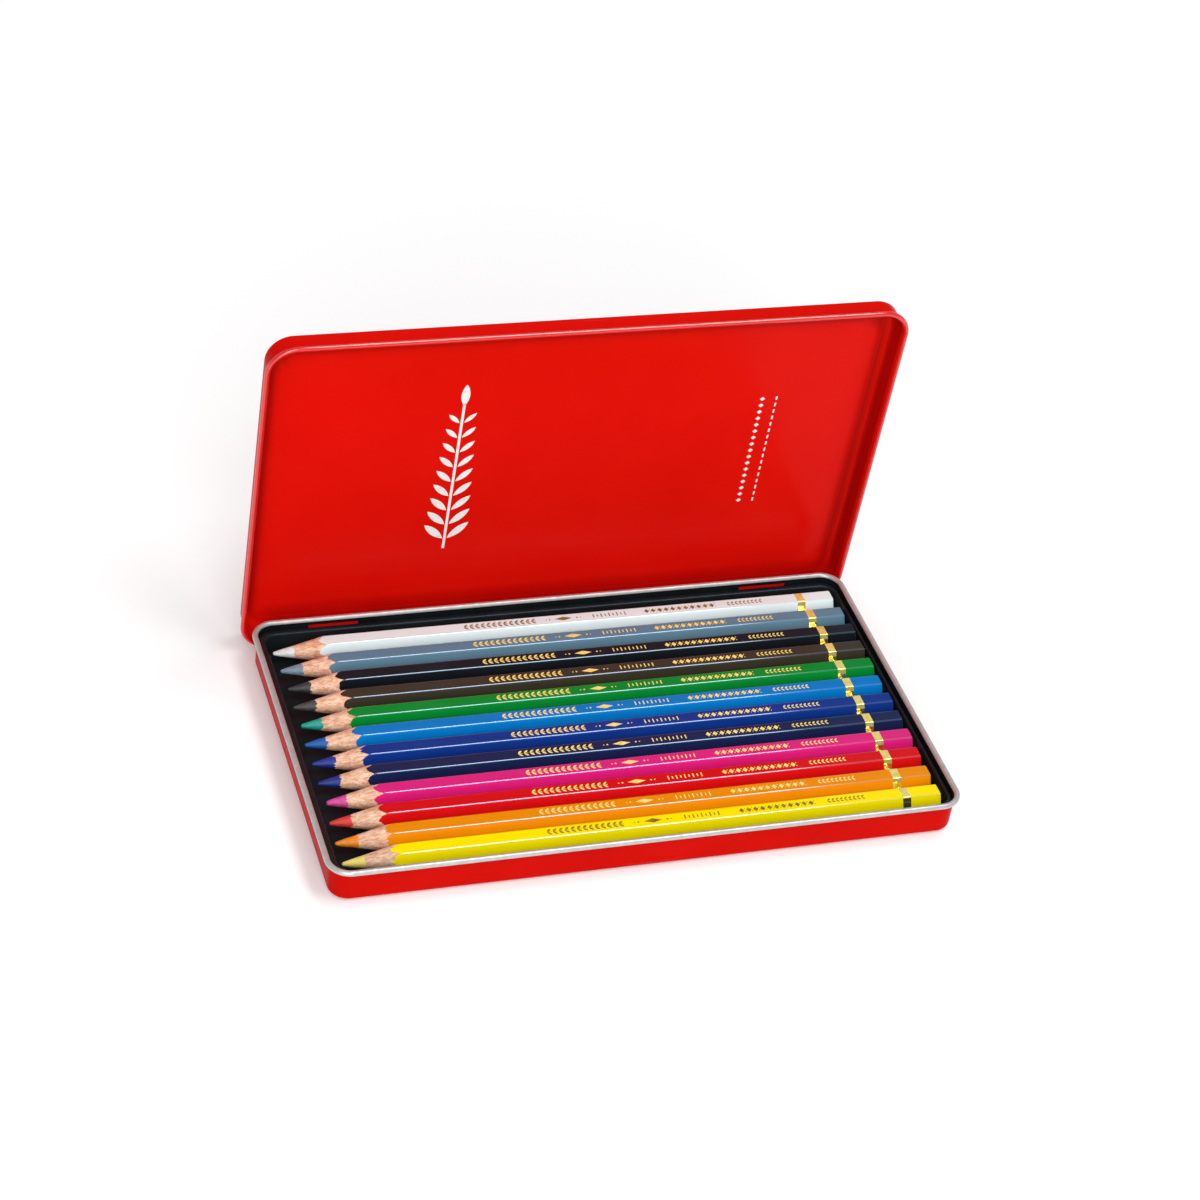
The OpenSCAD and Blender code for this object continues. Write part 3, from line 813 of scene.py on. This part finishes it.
def leafShape(length, width):   # half its width times sin(pi s)^0.8, on both sides of its own axis
    s = np.linspace(0, 1, 9)
    half = width / 2 * np.sin(math.pi * s) ** 0.8
    sides = [np.stack([s * length, sign * half], -1) for sign in (1, -1)]
    return np.concatenate([sides[0][:-1], sides[1][:0:-1]])


def turned(points, degrees):   # flat points turned anticlockwise
    angle = math.radians(degrees)
    c, s = math.cos(angle), math.sin(angle)
    return points @ np.array([[c, s], [-s, c]])


def lozengeShape(length, width):
    return np.array([[-length / 2, 0], [0, -width / 2], [length / 2, 0], [0, width / 2]])


def barShape(length, width):
    return square * [length / 2, width / 2]


def dotShape(radius):
    turns = np.linspace(0, 2 * math.pi, 13)[:-1]
    return radius * np.stack([np.cos(turns), np.sin(turns)], -1)


def stampPiece(name, shapes, toFrame, finish):
    # flat convex outlines in a plane, each raised into a thin closed plate; toFrame takes
    # (outline points, height above the surface) to the row frame
    points, faces, first = [], [], 0
    for outline in shapes:
        ahead = np.roll(outline, -1, 0)
        if np.sum(outline[:, 0] * ahead[:, 1] - outline[:, 1] * ahead[:, 0]) < 0:   # clockwise
            outline = outline[::-1]
        count = len(outline)
        points += [toFrame(outline, -stamp["sink"]), toFrame(outline, stamp["lift"])]
        low, high = first + np.arange(count), first + count + np.arange(count)
        faces += [low[::-1].tolist(), high.tolist()]
        faces += np.stack([low, np.roll(low, -1), np.roll(high, -1), high], -1).tolist()
        first += 2 * count
    return newPiece(name, np.concatenate(points) * mm, faces, [finish], None, 30)


gilding = {   # distances behind the pencil's point, mm
    "sprig": {"start": 58, "pitch": 1.75, "count": 13, "leaf": (1.6, 0.62), "offset": 0.12},
    "smallSprig": {"start": 141.5, "pitch": 1.3, "count": 9, "leaf": (1.2, 0.5), "offset": 0.08},
    "splay": 38,
    "stalk": (1.3, 0.16), "stalkAhead": 0.6,
    "dots": ((83.6, 0.2), (84.7, 0.28), (93.3, 0.28), (94.4, 0.2)),   # place and radius
    "jewel": (5.4, 1.7), "jewelAt": 89,
    "bars": {"start": 98.5, "pitch": 1.25, "count": 9, "width": 0.36, "heights": (1.6, 1.0)},
    "chain": {"start": 115.5, "pitch": 2.1, "count": 11, "lozenge": (1.6, 1.9)},
    "bead": 0.17, "beadAt": (1.05, 0.62),
    "paleShades": ("white", "yellow"),   # gold foil reads dark against these
}


def placesAlong(run):   # where the members of an evenly spaced run lie
    return [run["start"] + k * run["pitch"] for k in range(run["count"])]


def giltLeaves(run, x):   # two leaves splayed from the stalk at x
    return [turned(leafShape(*run["leaf"]), sign * gilding["splay"]) + [x, sign * run["offset"]]
            for sign in (-1, 1)]


def pencilOrnament():
    # a sprig of paired leaves, a lozenge between dots, a row of bars, a chain of lozenges with
    # beads between them, and a smaller sprig
    plan = gilding
    shapes = []
    for x in placesAlong(plan["sprig"]):
        shapes += giltLeaves(plan["sprig"], x)
        shapes.append(barShape(*plan["stalk"]) + [x + plan["stalkAhead"], 0])
    shapes += [dotShape(radius) + [x, 0] for x, radius in plan["dots"]]
    shapes.append(lozengeShape(*plan["jewel"]) + [plan["jewelAt"], 0])
    for k, x in enumerate(placesAlong(plan["bars"])):
        shapes.append(barShape(plan["bars"]["width"], plan["bars"]["heights"][k % 2]) + [x, 0])
    ahead, aside = plan["beadAt"]
    for x in placesAlong(plan["chain"]):
        shapes.append(lozengeShape(*plan["chain"]["lozenge"]) + [x, 0])
        shapes += [dotShape(plan["bead"]) + [x + ahead, side] for side in (aside, -aside)]
    for x in placesAlong(plan["smallSprig"]):
        shapes += giltLeaves(plan["smallSprig"], x)
    return shapes


for number, shadeRow in enumerate(shades):
    def onFacet(outline, height, index=number):
        radial = np.stack([outline[:, 1], np.full(len(outline), pencil["flats"] / 2 + height)], -1)
        return alongPencil(index, radial, outline[:, 0])
    foil = deepGilding if shadeRow[0] in gilding["paleShades"] else goldGilding
    gilt = stampPiece(shadeRow[0] + "Gilding", pencilOrnament(), onFacet, foil)
    place(gilt, "pencil_" + shadeRow[0], "gold_foil")


lidPrint = {   # places on the plate as seen from inside the lid, mm
    "sprigX": -34,
    "sprig": {"start": -26, "pitch": 5.6, "count": 9},
    "leaf": 8.4, "leafLoss": 0.45, "leafSlim": 0.3,   # each leaf up the stalk is shorter by the loss
    "splay": 46, "offset": 0.7,
    "stalk": (0.8, 56), "stalkY": -2,
    "topLeaf": (8, 2.6), "topLeafY": 25,
    "columns": {"start": -20, "pitch": 2.5, "count": 17},
    "lozenge": (1.6, 1.5), "lozengeX": 58,
    "bar": (0.5, 1.3), "barX": 62.5,
}


def lidOrnament():
    # a tall sprig of paired leaves, and a column of lozenges beside one of bars
    plan = lidPrint
    shapes = []
    for k, y in enumerate(placesAlong(plan["sprig"])):
        size = plan["leaf"] - plan["leafLoss"] * k
        for sign in (-1, 1):
            leaf = turned(leafShape(size, size * plan["leafSlim"]), 90 - sign * plan["splay"])
            shapes.append(leaf + [plan["sprigX"] + sign * plan["offset"], y])
    shapes.append(barShape(*plan["stalk"]) + [plan["sprigX"], plan["stalkY"]])
    shapes.append(turned(leafShape(*plan["topLeaf"]), 90) + [plan["sprigX"], plan["topLeafY"]])
    for y in placesAlong(plan["columns"]):
        shapes.append(lozengeShape(*plan["lozenge"]) + [plan["lozengeX"], y])
        shapes.append(barShape(*plan["bar"]) + [plan["barX"], y])
    return shapes


def onPlate(outline, height):   # x along the lid, y up the open lid
    points = np.empty((len(outline), 3))
    points[:, 0] = outline[:, 0]
    points[:, 1] = -outline[:, 1]
    points[:, 2] = lidShape["plate"] - height
    return opened(points)


place(stampPiece("lidOrnament", lidOrnament(), onPlate, whiteInk), "lid", "red_enamel")
print("ornament made")


studio = {
    "azimuth": -22.162, "elevation": 37.732, "roll": 8.947,   # the photo's viewing angle, degrees
    "targetX": 19.689, "targetY": 63.914,   # what the camera looks at, mm
    "distance": 942.253,
    "lens": 91.455,
    "worldStrength": 0.4,
    # the sweep's own glow, which grows with the distance from the tin in metres
    "glow": {"From Min": 0.1, "From Max": 2.2, "To Min": 0.1, "To Max": 0.6},
    "floorReach": 8.0, "floorDrop": 0.0002,   # metres
}

# towards, distance, across, width and height in metres, and the level each softbox gives; the long
# strip draws the bright lines along rounded edges, the low front box lights the inside of the lid,
# and the high one reaches between the pencils
softboxes = {
    "overheadStrip": ((0.298, -0.164, 0.94), 2.34, (1, 0, 0), 1.6, 0.68, 0.44),
    "frontSoftbox": ((-0.33, -0.92, 0.22), 1.6, (0, 0, 1), 0.9, 0.5, 0.22),
    "fillSoftbox": ((-0.2, -0.74, 0.64), 1.6, (0, 0, 1), 0.8, 0.8, 0.41),
}


def stand(thing, right, up, back, spot):   # puts a camera or lamp at a spot, looking away from "back"
    turn = np.eye(4)
    turn[:3] = np.column_stack([right, up, back, spot])
    thing.matrix_world = Matrix(turn.tolist())
    bpy.context.scene.collection.objects.link(thing)


def addCamera():
    a, e, r = (math.radians(studio[k]) for k in ("azimuth", "elevation", "roll"))
    back = np.array([math.sin(a) * math.cos(e), -math.cos(a) * math.cos(e), math.sin(e)])
    right = np.cross(-back, [0, 0, 1])
    right /= np.linalg.norm(right)
    up = np.cross(right, -back)
    spot = np.array([studio["targetX"], studio["targetY"], 0]) + back * studio["distance"]
    lens = bpy.data.cameras.new("photoCamera")
    lens.lens = studio["lens"]
    lens.sensor_width = 36
    lens.clip_start, lens.clip_end = 0.01, 50
    camera = bpy.data.objects.new("photoCamera", lens)
    stand(camera, right * math.cos(r) + up * math.sin(r), up * math.cos(r) - right * math.sin(r), back,
          spot * mm)
    bpy.context.scene.camera = camera


def addSoftbox(name, towards, distance, across, width, height, level):
    # a rectangular softbox, width lying along the cross product of "across" and its own direction;
    # it lights a surface that faces it to "level" times that surface's own colour
    away = np.array(towards, float)
    away /= np.linalg.norm(away)
    side = np.cross(across, away)
    side /= np.linalg.norm(side)
    light = bpy.data.lights.new(name, "AREA")
    light.shape = "RECTANGLE"
    light.size, light.size_y = width, height
    light.energy = level * (math.pi * distance) ** 2
    lamp = bpy.data.objects.new(name, light)
    stand(lamp, side, np.cross(away, side), away, away * distance)


def addWorld():
    world = bpy.data.worlds.new("paleStudio")
    bpy.context.scene.world = world
    world.use_nodes = True
    tree = world.node_tree
    tree.nodes.clear()
    glow = addNode(tree, "ShaderNodeBackground", {"Color": (1, 1, 1, 1),
                                                  "Strength": studio["worldStrength"]})
    addNode(tree, "ShaderNodeOutputWorld", {}, {"Surface": (glow, "Background")})


def addFloor():
    # a matt painted sweep that keeps the tin's shadow; a glow for what the camera, gloss and glass
    # see keeps it white as the lamps fall off
    finish, tree, shader = newFinish("whiteSweep", {
        "Base Color": linearColour("#f8f8f8"), "Roughness": 0.9, "Specular IOR Level": 0.0,
        "Emission Color": (1, 1, 1, 1)})
    spot = addNode(tree, "ShaderNodeTexCoord")
    far = addNode(tree, "ShaderNodeVectorMath", {"operation": "LENGTH"}, {0: (spot, "Object")})
    lift = addNode(tree, "ShaderNodeMapRange", studio["glow"], {"Value": (far, "Value")})
    path = addNode(tree, "ShaderNodeLightPath")
    seen = addNode(tree, "ShaderNodeMath", {"operation": "ADD"}, {0: (path, "Is Camera Ray"),
                                                                  1: (path, "Is Glossy Ray")})
    shown = addNode(tree, "ShaderNodeMath", {"operation": "ADD", "use_clamp": True},
                    {0: (seen, "Value"), 1: (path, "Is Transmission Ray")})
    glow = addNode(tree, "ShaderNodeMath", {"operation": "MULTIPLY"}, {0: (lift, "Result"),
                                                                       1: (shown, "Value")})
    tree.links.new(glow.outputs["Value"], shader.inputs["Emission Strength"])
    corners = [(x, y, -studio["floorDrop"]) for x, y in square * studio["floorReach"]]
    floor = newPiece("floor", corners, [[0, 1, 2, 3]], [finish])


addCamera()
for name, setting in softboxes.items():
    addSoftbox(name, *setting)
addWorld()
addFloor()
bpy.context.scene.view_settings.view_transform = "Standard"
print("studio made")
